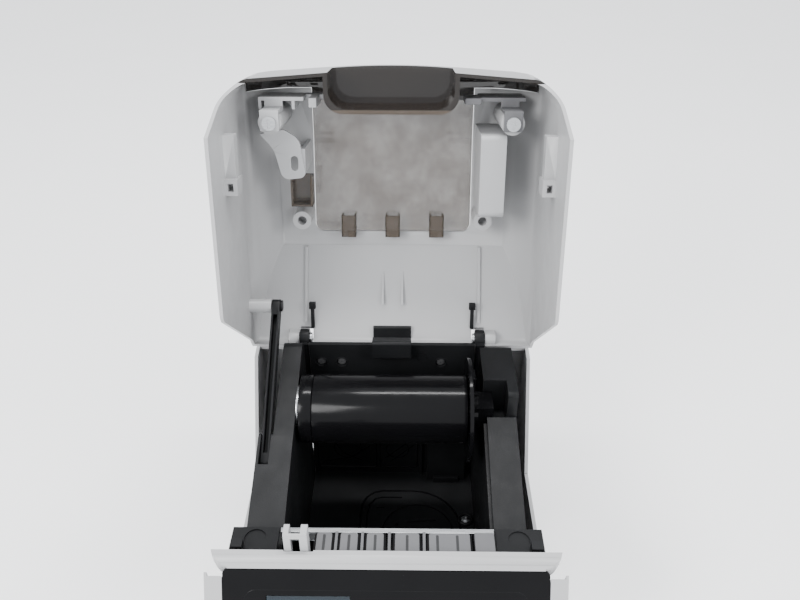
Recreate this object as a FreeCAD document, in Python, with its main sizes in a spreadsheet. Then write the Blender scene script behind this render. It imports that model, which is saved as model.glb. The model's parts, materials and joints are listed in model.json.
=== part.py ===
import FreeCAD, Part
import Sketcher
import math
import os
import re

# Thermal label printer with its lid open.  Millimetres, +X right, +Y back, +Z up.
# The origin is on the table under the middle of the printer.
# The lid is drawn closed about its hinge line and placed open, at its rest position.

SIZES = {
    # whole printer
    "half_width": 103, "wall": 2.5, "gap": 0.4, "fit": 0.05,
    "foot_height": 4, "foot_radius": 8, "foot_side": 84, "foot_front": -124, "foot_rear": 80,
    "front_y": -143, "rear_y": 98, "seam_z": 76, "plan_round": 16,
    "cover_top": 150, "cover_edge_y": -110, "cover_back_y": -104, "hook_back_y": -98, "slope_low_z": 89.5,
    "top_half": 100.3, "slope_lean": 28.6,
    # lid, measured from its hinge line
    "hinge_y": 71, "hinge_z": 167.2, "lid_open": 103.3, "lid_wall": 2.2,
    "lid_rear": 5, "lid_rear_top": 5, "lid_slope_y": 71, "lid_slope_top": 34.8,
    "lid_flat_y": 141, "lid_top": 40.8, "lid_front": 194, "lid_front_side": 186,
    "lid_front_low": 16.2, "lid_side_low": 90, "lid_arc": 185.5, "cheek_arc": 186.6,
    "lid_side_mid": 52, "lid_notch_y": 51, "arch_round": 50,
    "pane_half": 97.5, "pane_top_half": 57, "pane_rear": 73, "pane_front": 176, "scoop_half": 40.5,
    "scoop_deep": 26, "scoop_top": 16, "scoop_wall": 3, "clip_pitch": 30,
    "lid_boss_x": 78, "lid_boss_y": 160, "lid_boss_radius": 7.5, "lid_boss_low": 20,
    "low_boss_x": 64, "low_boss_y": 87, "screw_hole": 3.2,
    "rib_x": 64, "rib_front": 62, "gusset_x": 7.2, "gusset_front": 46,
    # chassis
    "side_in": 64, "side_out": 87, "bay_floor_z": 36, "bay_front_y": -78, "bay_rear_y": 60,
    "sheet": 2.5, "corner_z": 141, "top_thick": 2.4, "stop_top": 178, "hook_high": 14, "panel_drop": 8,
    "fin_slope": 0.36, "fin_top_rear_y": 56, "fin_top_rear_z": 177, "fin_out": 77.3,
    "block_rear_y": -12, "block_front_y": -90, "block_web_top": 150,
    "right_block_top": 167, "right_panel_rear": 146, "right_block_front": 10, "right_block_rear": 62,
    "rear_panel_top": 169.2, "rear_panel_low": 138,
    # stay
    "stay_pin_y": 30, "stay_pin_z": 12, "stay_length": 111, "stay_drop": 34,
    "stay_x": 81.9, "stay_width": 5.6, "stay_high": 9, "stay_slot_y": -24.3, "stay_slot_z": 106.3,
    "stay_slot_radius": 30.7, "stay_pin_radius": 2.4,
    "hinge_arm_in": 61, "hinge_arm_out": 67.8, "hinge_pin_radius": 2.5,
    # label roll
    "roll_y": 15, "roll_z": 148.5, "tube_radius": 23.9, "tube_left": 62, "tube_right": 52,
    "tube_wall": 2.4, "axle_radius": 6, "flange_radius": 36,
    # print mechanism
    "platen_y": -118, "platen_z": 84, "platen_radius": 8, "platen_half": 58, "shaft_radius": 3,
    "centre_y": -4.5, "motor_shaft": 2,
    "plate_x": 61, "plate_thick": 2, "gear_module": 0.8, "gear_wide": 5,
    "platen_teeth": 24, "idler_teeth": 36, "pinion_teeth": 12, "motor_radius": 17.5,
    "motor_long": 30, "head_pivot_y": -97, "head_pivot_z": 104,
    # keys and display
    "panel_half": 93, "panel_low": 6, "panel_high": 63, "panel_thick": 2,
    "key_radius": 6.5, "key_pitch": 20, "key_x": 34, "key_slope": 24,
    "display_x": -44, "display_half": 27, "display_low": 16, "display_high": 50,
}

doc = FreeCAD.newDocument("LabelPrinter")
sheet = doc.addObject("Spreadsheet::Sheet", "Sizes")
for row, (alias, number) in enumerate(SIZES.items(), 1):
    sheet.set(f"A{row}", alias)
    sheet.set(f"B{row}", str(number))
    sheet.setAlias(f"B{row}", alias)
doc.recompute()

WORD = re.compile(r"[A-Za-z_][A-Za-z_0-9]*")
X_AXIS = FreeCAD.Rotation(FreeCAD.Vector(0, 1, 0), 90)
Y_AXIS = FreeCAD.Rotation(FreeCAD.Vector(1, 0, 0), -90)
Z_AXIS = FreeCAD.Rotation()
AXES = {"x": X_AXIS, "y": Y_AXIS, "z": Z_AXIS}
PLANES = {"yz": "YZ_Plane", "xz": "XZ_Plane", "xy": "XY_Plane"}
nodes = []


def size(alias):
    """A driving dimension, read from the sheet."""
    return float(sheet.get(alias))


def linked(text):
    """An expression with every size's name pointing at the sheet."""
    return WORD.sub(lambda m: "Sizes." + m.group() if m.group() in SIZES else m.group(), str(text))


def value(text):
    """The number that an expression has now."""
    return float(sheet.evalExpression(linked(text)))


def bind(item, **sizes):
    """Tie an object's properties to expressions of the sheet."""
    for prop, text in sizes.items():
        item.setExpression(prop, linked(text))
    return item


def put(item, x=0, y=0, z=0, rotation=Z_AXIS):
    """Place an object; its base point follows the sheet."""
    item.Placement = FreeCAD.Placement(FreeCAD.Vector(value(x), value(y), value(z)), rotation)
    for axis, text in zip("xyz", (x, y, z)):
        item.setExpression(".Placement.Base." + axis, linked(text))
    return item


def box(x, y, z):
    """A box between (low, high) pairs of expressions."""
    item = doc.addObject("Part::Box", "Block")
    bind(item, Length=f"({x[1]})-({x[0]})", Width=f"({y[1]})-({y[0]})", Height=f"({z[1]})-({z[0]})")
    return put(item, x[0], y[0], z[0])


def rod(axis, radius, start, x=0, y=0, z=0):
    """A cylinder along an axis between the (low, high) pair start."""
    item = doc.addObject("Part::Cylinder", "Round")
    bind(item, Radius=radius, Height=f"({start[1]})-({start[0]})")
    spot = dict(x=x, y=y, z=z)
    spot[axis] = start[0]
    return put(item, rotation=AXES[axis], **spot)


def cut(base, *tools):
    """The base with every tool taken away."""
    item = doc.addObject("Part::Cut", "Cut")
    item.Base = base
    item.Tool = tools[0] if len(tools) == 1 else fuse(*tools)
    return item


def fuse(*shapes):
    """Several shapes joined into one."""
    item = doc.addObject("Part::MultiFuse", "Fuse")
    item.Shapes = list(shapes)
    return item


def common(*shapes):
    """What several shapes share."""
    item = doc.addObject("Part::MultiCommon", "Common")
    item.Shapes = list(shapes)
    return item


def group(*shapes):
    """Several separate solids that make one node."""
    item = doc.addObject("Part::Compound", "Set")
    item.Links = list(shapes)
    return item


def node(name, item):
    """Name a sub-part and its file, and set it where the whole printer's box is centred."""
    whole = put(group(item), "0", "centre_y", "0")
    whole.Label = name
    nodes.append(whole)
    return item


def both_sides(item):
    """The object and its mirror image across the middle plane."""
    twin = doc.addObject("Part::Mirroring", "Twin")
    twin.Source = item
    twin.Normal = FreeCAD.Vector(1, 0, 0)
    return [item, twin]


def corner_points(points, index, radius):
    """Where a rounded corner's arc starts, ends and has its centre."""
    here = FreeCAD.Vector(*points[index], 0)
    before = FreeCAD.Vector(*points[index - 1], 0) - here
    after = FreeCAD.Vector(*points[(index + 1) % len(points)], 0) - here
    half = before.getAngle(after) / 2
    before.normalize()
    after.normalize()
    reach = radius / math.tan(half)
    middle = (before + after).normalize() * (radius / math.sin(half))
    return here + before * reach, here + after * reach, here + middle


def outline(sketch, corners):
    """A closed outline whose corners follow the sheet; a corner is (u, v) or (u, v, radius)."""
    points = [(value(c[0]), value(c[1])) for c in corners]
    count = len(points)
    ends = []
    for index, corner in enumerate(corners):
        spot = FreeCAD.Vector(*points[index], 0)
        ends.append(corner_points(points, index, value(corner[2])) if len(corner) > 2 else (spot, spot,
            None))
    lines = []
    for index in range(count):
        follow = (index + 1) % count
        lines.append(sketch.addGeometry(Part.LineSegment(ends[index][1], ends[follow][0]), False))
    for index, corner in enumerate(corners):
        before, after = lines[index - 1], lines[index]
        if ends[index][2] is None:
            sketch.addConstraint(Sketcher.Constraint("Coincident", before, 2, after, 1))
            anchor, end = after, 1
        else:
            anchor, end = rounded(sketch, points[index], ends[index], before, after, corner[2]), 1
        for kind, text in (("DistanceX", corner[0]), ("DistanceY", corner[1])):
            number = value(text)
            mark = sketch.addConstraint(Sketcher.Constraint(kind, -1, 1, anchor, end, number))
            sketch.setExpression(f"Constraints[{mark}]", linked(text))


def rounded(sketch, point, end, before, after, radius):
    """An arc tangent to both lines; returns the point where the lines would have met."""
    start, stop, centre = end
    size_now = (start - centre).Length
    first = math.atan2(start.y - centre.y, start.x - centre.x)
    last = math.atan2(stop.y - centre.y, stop.x - centre.x)
    sweep = (last - first) % (2 * math.pi)
    clockwise = sweep > math.pi
    low, high = (last, first) if clockwise else (first, last)
    circle = Part.Circle(centre, FreeCAD.Vector(0, 0, 1), size_now)
    arc = sketch.addGeometry(Part.ArcOfCircle(circle, low, high), False)
    corner = sketch.addGeometry(Part.Point(FreeCAD.Vector(*point, 0)), True)
    begin, finish = (2, 1) if clockwise else (1, 2)
    sketch.addConstraint(Sketcher.Constraint("Tangent", before, 2, arc, begin))
    sketch.addConstraint(Sketcher.Constraint("Tangent", after, 1, arc, finish))
    sketch.addConstraint(Sketcher.Constraint("PointOnObject", corner, 1, before))
    sketch.addConstraint(Sketcher.Constraint("PointOnObject", corner, 1, after))
    mark = sketch.addConstraint(Sketcher.Constraint("Radius", arc, size_now))
    sketch.setExpression(f"Constraints[{mark}]", linked(radius))
    return corner


def prism(plane, corners, start):
    """A padded outline: plane yz runs along X, xz along Y and xy along Z, between start's two places."""
    body = doc.addObject("PartDesign::Body", "Body")
    sketch = body.newObject("Sketcher::SketchObject", "Outline")
    flat = [f for f in body.Origin.OriginFeatures if f.Role == PLANES[plane]][0]
    sketch.AttachmentSupport = [(flat, "")]
    sketch.MapMode = "FlatFace"
    outline(sketch, corners)
    pad = body.newObject("PartDesign::Pad", "Pad")
    pad.Profile = sketch
    bind(pad, Length=f"({start[1]})-({start[0]})")
    pad.Reversed = plane == "xz"
    spot = {"yz": "x", "xz": "y", "xy": "z"}[plane]
    return put(body, **{spot: start[0]})


def on_slope(item, up="0", deep="0", x="0"):
    """Move a piece drawn upright at the origin onto the leaning front face."""
    y = f"front_y + ({up})*sin(slope_lean*1deg) + ({deep})*cos(slope_lean*1deg)"
    z = f"slope_low_z + ({up})*cos(slope_lean*1deg) - ({deep})*sin(slope_lean*1deg)"
    lean = FreeCAD.Rotation(FreeCAD.Vector(1, 0, 0), -value("slope_lean"))
    return put(item, x, y, z, lean * item.Placement.Rotation)


def on_lid(item):
    """Swing a piece drawn about the hinge line with the lid closed to where the open lid has it."""
    swing = FreeCAD.Rotation(FreeCAD.Vector(1, 0, 0), -value("lid_open"))
    return put(item, 0, "hinge_y", "hinge_z", swing)


# ---- lid -------------------------------------------------------------------------------------

def hood(inset, low):
    """The lid's outer form, drawn smaller by an inset and open below down to a low line."""
    i = f"({inset})"
    side = prism("yz", [
        (f"lid_rear-{i}", "-lid_rear"), (f"lid_rear-{i}", f"lid_rear_top-{i}", "3"),
        ("-lid_slope_y", f"lid_slope_top-{i}", "60"), ("-lid_flat_y", f"lid_top-{i}", "60"),
        (f"-lid_front+{i}", f"lid_top-3-{i}", f"25-{i}"), (f"-lid_front+{i}", f"-lid_front_low-{low}"),
        ("-sqrt(lid_arc^2-lid_front_low^2)", f"-lid_front_low-{low}"),
        ("-sqrt(lid_arc^2-lid_side_mid^2)", f"-lid_side_mid-{low}", "90"),
        ("-sqrt(lid_arc^2-lid_side_low^2)", f"-lid_side_low-{low}"),
        ("-lid_notch_y", f"-lid_side_low-{low}", "8"), ("-3", f"-12-{low}", "6"),
    ], ("-half_width-1", "half_width+1"))
    across = f"half_width-{i}"
    arch = prism("xz", [
        (f"-{across.replace('-', '+')}", "-lid_side_low-20"), (across, "-lid_side_low-20"),
        (across, f"lid_top-{i}", f"arch_round-{i}"), (f"-({across})", f"lid_top-{i}", f"arch_round-{i}"),
    ], ("-lid_front-1", "lid_rear+2"))
    plan = prism("xy", [
        (f"-({across})", f"lid_rear+1-{i}"), (f"-({across})", f"-lid_front_side+{i}", f"13-{i}"),
        ("0", f"-lid_front+{i}", "500"), (across, f"-lid_front_side+{i}", f"13-{i}"),
        (across, f"lid_rear+1-{i}"),
    ], ("-lid_side_low-21", "lid_top+2"))
    return common(side, arch, plan)


def pane_region(grow):
    """The space that the smoked pane fills: the whole front wall and the middle of the top."""
    front = box((f"-pane_half-{grow}", f"pane_half+{grow}"), ("-lid_front-2", f"-pane_front+{grow}"),
                ("-lid_front_low-2", "lid_top+3"))
    top = prism("xy", [
        (f"-pane_top_half-{grow}", "-pane_front-5"), (f"-pane_top_half-{grow}", f"-pane_rear+{grow}", "6"),
        (f"pane_top_half+{grow}", f"-pane_rear+{grow}", "6"), (f"pane_top_half+{grow}", "-pane_front-5"),
    ], ("0", "lid_top+3"))
    return fuse(front, top)


def scoop_block(grow, low, top):
    """The finger scoop's pocket."""
    return prism("xy", [
        (f"-scoop_half-{grow}", "-lid_front-4"),
        (f"-scoop_half-{grow}", f"-lid_front+scoop_deep+{grow}", "12"),
        (f"scoop_half+{grow}", f"-lid_front+scoop_deep+{grow}", "12"),
        (f"scoop_half+{grow}", "-lid_front-4"),
    ], (low, top))


def lid_shell():
    """The hood of the lid with its cheeks, ribs and bosses."""
    skin = cut(hood("0", "0"), hood("lid_wall", "20"))
    bosses = [
        rod("z", "lid_boss_radius", ("-lid_boss_low", "lid_top-10"), "lid_boss_x", "-lid_boss_y"),
        rod("z", "lid_boss_radius-1", ("9", "lid_slope_top-2"), "low_boss_x", "-low_boss_y"),
    ]
    bosses = [twin for boss in bosses for twin in both_sides(boss)]
    holes = [
        rod("z", "screw_hole", ("-lid_boss_low-1", "lid_boss_low"), "lid_boss_x", "-lid_boss_y"),
        rod("z", "screw_hole", ("7", "20"), "low_boss_x", "-low_boss_y"),
    ]
    holes = [twin for hole in holes for twin in both_sides(hole)]
    rib = prism("yz", [("-10", "6"), ("-rib_front", "lid_slope_top-8"), ("-rib_front", "lid_slope_top-2"),
                       ("-10", "10")], ("rib_x-1", "rib_x+1"))
    gusset = prism("yz", [("-23", "9"), ("-gusset_front", "lid_slope_top-12"), ("-23", "14")],
                   ("gusset_x-0.8", "gusset_x+0.8"))
    ridge = box(("half_width-lid_wall-7", "half_width-lid_wall+0.5"), ("-158", "-128"), ("-56", "-48"))
    catch = cut(box(("half_width-lid_wall-8", "half_width-lid_wall+0.5"), ("-132", "-122"), ("-60", "-46")),
                box(("half_width-lid_wall-5.5", "half_width-lid_wall-2"), ("-129.5", "-124.5"),
                    ("-61", "-45")))
    pin_boss = rod("x", "5", ("-half_width+lid_wall-0.5", "-stay_x-stay_width/2-0.6"), y="-stay_pin_y",
                   z="-stay_pin_z")
    knuckle = both_sides(rod("x", "4.6", ("rib_x+4.4", "rib_x+12")))
    webs = both_sides(box(("rib_x+4.4", "rib_x+12"), ("-4.6", "lid_rear-1"), ("0", "lid_rear_top+2")))
    ribs = both_sides(rib) + both_sides(gusset) + both_sides(ridge) + both_sides(catch)
    bodywork = common(fuse(skin, *bosses, *ribs, pin_boss, *webs), hood("0", "0"))
    solid = fuse(bodywork, *knuckle)
    pin_bore = rod("x", "hinge_pin_radius+fit", ("-rib_x-30", "rib_x+30"))
    stay_bore = rod("x", "stay_pin_radius", ("-half_width+lid_wall+1", "-stay_x"), y="-stay_pin_y",
                    z="-stay_pin_z")
    arm_notches = both_sides(rod("x", "lid_rear+4", ("hinge_arm_in-2.2", "hinge_arm_out+0.4")))
    arm_notches += both_sides(box(("lid_boss_x-6.4", "lid_boss_x+6.4"),
        ("-lid_boss_y-9", "-lid_boss_y-5.3"),
                                  ("-lid_boss_low-1", "0.3")))
    trimmed = cut(solid, *holes, pane_region("gap"), pin_bore, stay_bore, *arm_notches)
    return node("lid_shell", on_lid(trimmed))


def lid_window():
    """The smoked pane with its finger scoop."""
    skin = cut(hood("0", "0"), hood("lid_wall", "20"))
    pane = common(skin, pane_region("0"))
    hollow = scoop_block("0", "-lid_front_low-4", "scoop_top")
    pocket = cut(common(scoop_block("scoop_wall", "-lid_front_low", "scoop_top+scoop_wall"),
        hood("0", "0")), hollow)
    bare = cut(pane, hollow)
    clip = fuse(box(("-3", "3"), ("-pane_rear-7", "-pane_rear-0.2"),
        ("lid_slope_top-8", "lid_slope_top-1")),
                box(("-3", "3"), ("-pane_rear-7", "-pane_rear+3.5"),
                    ("lid_slope_top-8", "lid_slope_top-4.4")))
    clip_gap = box(("-1.6", "1.6"), ("-pane_rear-8", "-pane_rear+0.5"),
        ("lid_slope_top-9", "lid_slope_top-3"))
    clips = [move_x(cut(clip, clip_gap), f"{step}*clip_pitch") for step in (-1, 0, 1)]
    return node("lid_window", on_lid(fuse(bare, pocket, *clips)))


def move_x(item, x):
    """A copy of a piece, moved along X."""
    twin = doc.addObject("Part::Compound", "Copy")
    twin.Links = [item]
    return put(twin, x)


def carrier_foot(side):
    """The foot that a lid carrier is screwed down by, and the step that joins it to its plate."""
    foot = box(("-6", "6"), ("-lid_boss_y-8", "-lid_boss_y+5"), ("-lid_boss_low-2", "-lid_boss_low"))
    stem = box(("-6", "6"), ("-lid_boss_y-8", "-lid_boss_y-5.6"), ("-lid_boss_low-2", "0"))
    shelf = box(("-6", "6"), ("-pane_front+2", "-lid_boss_y-5.6"), ("-2", "0"))
    hole = rod("z", "screw_hole", ("-lid_boss_low-3", "-lid_boss_low+1"), y="-lid_boss_y")
    return move_x(cut(fuse(foot, stem, shelf), hole), f"{side}*lid_boss_x")


def latch_carrier():
    """The white insert behind the front wall on the left, with the tab that the base's hook holds."""
    plate = box(("-88", "-pane_top_half-1"), ("-pane_front+2", "-pane_front+4.5"), ("-2", "22"))
    tab = box(("-54", "-49"), ("-pane_front+2", "-pane_front+8"), ("-8", "20"))
    bridge = box(("-pane_top_half-1.5", "-46"), ("-pane_front+2", "-pane_front+5"), ("12", "22"))
    ends = [box((f"{x}", f"{x}+2"), ("-pane_front+2", "-pane_front+10"), ("-2", "22")) for x in (-88, -66)]
    node("latch_carrier", on_lid(fuse(plate, tab, bridge, *ends, carrier_foot("-1"))))


def stop_plate():
    """The grey plate behind the front wall on the right."""
    plate = box(("pane_top_half+1", "88"), ("-pane_front+2", "-pane_front+4.5"), ("-2", "22"))
    step = box(("48", "pane_top_half+1.5"), ("-pane_front+2", "-pane_front+6"), ("-6", "14"))
    node("stop_plate", on_lid(fuse(plate, step, carrier_foot("1"))))


def lid_bumper():
    """The soft block under the lid's rear edge that meets the chassis block when the lid is shut."""
    pad = prism("yz", [("-7.5", "2.4", "1"), ("-7.5", "5.4"), ("1", "3.1"), ("1", "2.4")], ("-14", "14"))
    node("lid_bumper", on_lid(group(pad)))


def lid_brackets():
    """The left arm with its slotted hole and the long right bracket, both under the lid's top."""
    face = prism("xy", [
        ("-88", "-150"), ("-72", "-153"), ("-pane_top_half-5", "-147", "10"),
        ("-pane_top_half-1", "-121", "4"),
        ("-pane_top_half-17", "-119", "6"), ("-pane_top_half-22", "-140", "20"),
    ], ("-4", "-1"))
    web = box(("-pane_top_half-4", "-pane_top_half-1.4"), ("-140", "-124"), ("-2", "lid_top-5"))
    slot = fuse(box(("-68", "-63"), ("-133", "-128"), ("-5", "0")),
        rod("z", "2.5", ("-5", "0"), "-65.5", "-133"),
                rod("z", "2.5", ("-5", "0"), "-65.5", "-128"))
    node("lid_bracket_left", on_lid(cut(fuse(face, web), slot)))
    long_box = prism("yz", [
        ("-152", "lid_top-8"), ("-152", "-18", "3"), ("-97", "-18", "4"), ("-97", "lid_slope_top-4.6"),
    ], ("pane_top_half+1.4", "pane_top_half+18"))
    well = box(("pane_top_half+3.6", "pane_top_half+15.8"), ("-149", "-100"), ("-15.6", "lid_top"))
    node("lid_bracket_right", on_lid(cut(long_box, well)))


def lid_screws():
    """Two screws that hold the carriers to the lid's bosses."""
    head = rod("z", "4.5", ("-lid_boss_low-4.4", "-lid_boss_low-2"), "lid_boss_x", "-lid_boss_y")
    shank = rod("z", "screw_hole-0.1", ("-lid_boss_low-2.4", "-lid_boss_low+12"), "lid_boss_x",
        "-lid_boss_y")
    recess = box(("lid_boss_x-1", "lid_boss_x+1"), ("-lid_boss_y-3", "-lid_boss_y+3"),
                 ("-lid_boss_low-5", "-lid_boss_low-3.4"))
    node("lid_screws", on_lid(group(*both_sides(cut(fuse(head, shank), recess)))))


# ---- stay ------------------------------------------------------------------------------------

def stay():
    """The channel that props the lid, its pin in the lid's boss and its sliding end in the left wall."""
    drop = FreeCAD.Rotation(FreeCAD.Vector(1, 0, 0), value("stay_drop"))
    wide = ("-stay_width/2", "stay_width/2")
    bar = prism("yz", [
        ("4.5", "-stay_high/2", "4"), ("4.5", "stay_high/2", "4"),
        ("-stay_length-4", "stay_high/2", "4"), ("-stay_length-4", "-stay_high/2", "4"),
    ], wide)
    trough = box(("-stay_width/2+1.3", "stay_width/2-1.3"), ("-stay_length+6", "-8"), ("-2", "stay_high"))
    eye = rod("x", "stay_pin_radius+fit", ("-stay_width", "stay_width"))
    follower = rod("x", "stay_pin_radius", ("stay_width/2-0.5", "stay_width/2+4"), y="-stay_length")
    arm = cut(fuse(bar, follower), trough, eye)
    pin_y = "hinge_y - stay_pin_y*cos(lid_open*1deg) - stay_pin_z*sin(lid_open*1deg)"
    pin_z = "hinge_z + stay_pin_y*sin(lid_open*1deg) - stay_pin_z*cos(lid_open*1deg)"
    node("stay_arm", put(arm, "-stay_x", pin_y, pin_z, drop))
    stem = rod("x", "stay_pin_radius", ("-half_width+lid_wall+1.2", "-stay_x+stay_width/2+0.6"),
               y="-stay_pin_y", z="-stay_pin_z")
    cap = rod("x", "4", ("-stay_x+stay_width/2+0.1", "-stay_x+stay_width/2+1.4"), y="-stay_pin_y",
              z="-stay_pin_z")
    node("stay_pin", on_lid(fuse(stem, cap)))


# ---- casings ---------------------------------------------------------------------------------

def tub(inset, low, top, front, rear):
    """A block with the printer's rounded plan."""
    across = f"half_width-({inset})"
    front = f"{front}+{inset}"
    rear = f"{rear}-({inset})"
    return prism("xy", [
        (f"-({across})", front, "6"), (across, front, "6"), (across, rear, f"plan_round-{inset}"),
        (f"-({across})", rear, f"plan_round-{inset}"),
    ], (low, top))


def lower_shell():
    """The white lower casing, open at the top."""
    outer = tub("0", "foot_height", "seam_z", "front_y", "rear_y")
    inner = tub("wall", "foot_height+wall", "seam_z+1", "front_y", "rear_y")
    door = box(("-68", "68"), ("front_y-1", "front_y+wall+1"), ("16", "seam_z+1"))
    power = box(("40", "68"), ("rear_y-wall-1", "rear_y+1"), ("18", "42"))
    usb = box(("8", "22"), ("rear_y-wall-1", "rear_y+1"), ("20", "32"))
    network = box(("-24", "-6"), ("rear_y-wall-1", "rear_y+1"), ("20", "36"))
    vents = [box((f"-80+{k}*8", f"-77+{k}*8"), ("rear_y-wall-1", "rear_y+1"),
        ("24", "54")) for k in range(5)]
    posts = [rod("z", "5", ("foot_height+wall-0.5", "9"), x, y)
             for x in ("-92", "92") for y in ("-120", "foot_rear-6")]
    node("lower_shell", fuse(cut(outer, inner, door, power, usb, network, *vents), *posts))


def rubber_feet():
    """Four feet under the casing."""
    feet = [rod("z", "foot_radius", ("0", "foot_height"), x, y)
            for x in ("-foot_side", "foot_side") for y in ("foot_front", "foot_rear")]
    node("rubber_feet", group(*feet))


def base_plate():
    """The steel floor that carries the motor, the boards and the chassis."""
    sheet_metal = box(("-90", "90"), ("front_y+14", "rear_y-16"), ("9", "10.5"))
    lip = both_sides(box(("88.5", "90"), ("front_y+30", "rear_y-30"), ("9", "22")))
    posts = [rod("z", "2.5", ("10", "16"), f"{x}", f"{y}") for x in (-74, 26) for y in (-36, 60)]
    posts += [rod("z", "2.5", ("10", "16"), f"{x}", f"{y}") for x in (40, 76) for y in (-30, 60)]
    node("base_plate", fuse(sheet_metal, *lip, *posts))


def slope_section(inset):
    """The front cover's section: its rim, its leaning face and the short upright face."""
    return [
        ("cover_back_y", f"cover_top-{inset}"),
        (f"cover_edge_y+{inset}*0.6", f"cover_top-{inset}", f"5-{inset}*0.7"),
        (f"front_y+{inset}", f"slope_low_z-{inset}*0.25", "8"), (f"front_y+{inset}", "seam_z+0.4"),
    ]


def front_cover():
    """The white cover over the front of the print mechanism."""
    inner = [(y, z) for y, z, *rest in slope_section("3.4")]
    section = slope_section("0") + inner[::-1]
    middle = prism("yz", section, ("-top_half", "top_half"))
    drop = "(cover_top-hinge_z+24)"
    cheek = cut(prism("yz", [
        (f"cover_edge_y+(front_y-cover_edge_y)*{drop}/(cover_top-slope_low_z)", "hinge_z-24", "1"),
        ("front_y", "slope_low_z", "8"), ("front_y", "seam_z+0.4"), ("cover_back_y+10", "seam_z+0.4"),
        ("cover_back_y+10", "hinge_z-24"),
    ], ("top_half-2.2", "half_width")), rod("x", "cheek_arc", ("0", "half_width+1"), y="hinge_y",
        z="hinge_z"))
    corner = cut(box(("90", "top_half+1"), ("cover_edge_y-5", "hook_back_y-4"),
        ("hinge_z-30", "cover_top+1")),
                 rod("z", "10.2", ("hinge_z-31", "cover_top+2"), "90", "hook_back_y-4"))
    recess = on_slope(group(box(("-panel_half", "panel_half"), ("-3", "panel_thick"),
                                ("panel_low", "panel_high"))))
    window = on_slope(group(box(("display_x-display_half", "display_x+display_half"), ("-3", "6"),
                                ("display_low", "display_high"))))
    holes = [on_slope(group(rod("y", "key_radius+gap", ("-3", "8"), f"key_x+{k}*key_pitch", z="key_slope")))
             for k in (-1, 0, 1)]
    slot = box(("-62", "62"), ("front_y-1", "front_y+6"), ("seam_z+1", "seam_z+9"))
    latch_gap = box(("-58.5", "-41.5"), ("hook_back_y-7", "hook_back_y+1"), ("cover_top-5", "cover_top+1"))
    node("front_cover", cut(fuse(middle, *both_sides(cheek)), recess, window, *holes, slot, latch_gap,
                            *both_sides(corner)))


def front_panel():
    """The glossy black face with its openings for the display and the keys."""
    plate = prism("xz", [
        ("-panel_half+gap", "panel_low+gap", "8"), ("panel_half-gap", "panel_low+gap", "8"),
        ("panel_half-gap", "panel_high-gap", "3"), ("-panel_half+gap", "panel_high-gap", "3"),
    ], ("0", "panel_thick"))
    window = box(("display_x-display_half+3", "display_x+display_half-3"), ("-1", "3"),
                 ("display_low+3", "display_high-3"))
    holes = [rod("y", "key_radius+gap", ("-1", "3"), f"key_x+{k}*key_pitch",
        z="key_slope") for k in (-1, 0, 1)]
    node("front_panel", on_slope(cut(plate, window, *holes)))


def display():
    """The front panel's window and its board."""
    lens = box(("display_x-display_half+3.2", "display_x+display_half-3.2"), ("0.4", "panel_thick"),
               ("display_low+3.2", "display_high-3.2"))
    node("display_lens", on_slope(group(lens)))
    module = box(("display_x-display_half+1", "display_x+display_half-1"), ("panel_thick", "7"),
                 ("display_low+1", "display_high-1"))
    board = box(("display_x-display_half-2", "panel_half-8"), ("9.4", "11"),
        ("display_low", "display_high-8"))
    spacer = box(("display_x-8", "display_x+8"), ("7", "9.4"), ("display_low+8", "display_low+18"))
    node("display_board", on_slope(fuse(module, board, spacer)))


def keys():
    """Three round push keys, each with a collar that stops it behind the cover."""
    for k, name in ((-1, "key_pause"), (0, "key_feed"), (1, "key_cancel")):
        stem = rod("y", "key_radius", ("-0.8", "4.4"), f"key_x+{k}*key_pitch", z="key_slope")
        collar = rod("y", "key_radius+1.6", ("4.4", "6"), f"key_x+{k}*key_pitch", z="key_slope")
        node(name, on_slope(fuse(stem, collar)))


def exit_parts():
    """The label slot's black frame, its steel tear bar and the service door under it."""
    frame = box(("-61.6", "61.6"), ("front_y-0.4", "front_y+8"), ("seam_z+1.4", "seam_z+8.6"))
    mouth = box(("-59.5", "59.5"), ("front_y-2", "front_y+9"), ("seam_z+2.4", "seam_z+6.9"))
    pocket = box(("-59.2", "59.2"), ("front_y-2", "front_y+3.8"), ("seam_z+6.8", "seam_z+8"))
    node("exit_frame", cut(frame, mouth, pocket))
    blade = box(("-59", "59"), ("front_y+0.4", "front_y+3.6"), ("seam_z+7", "seam_z+7.8"))
    teeth = [prism("xy", [(f"{x}", "front_y+0.5"), (f"{x}+2", "front_y-0.8"), (f"{x}+4", "front_y+0.5")],
                   ("seam_z+7", "seam_z+7.8")) for x in range(-58, 56, 4)]
    node("tear_bar", fuse(blade, *teeth))
    door = box(("-67.6", "67.6"), ("front_y", "front_y+wall"), ("16.4", "seam_z-0.2"))
    grip = box(("-20", "20"), ("front_y-1", "front_y+1"), ("60", "66"))
    rail = box(("-60", "60"), ("front_y+wall-0.1", "front_y+wall+4"), ("24", "27"))
    node("front_door", fuse(cut(door, grip), rail))


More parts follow.
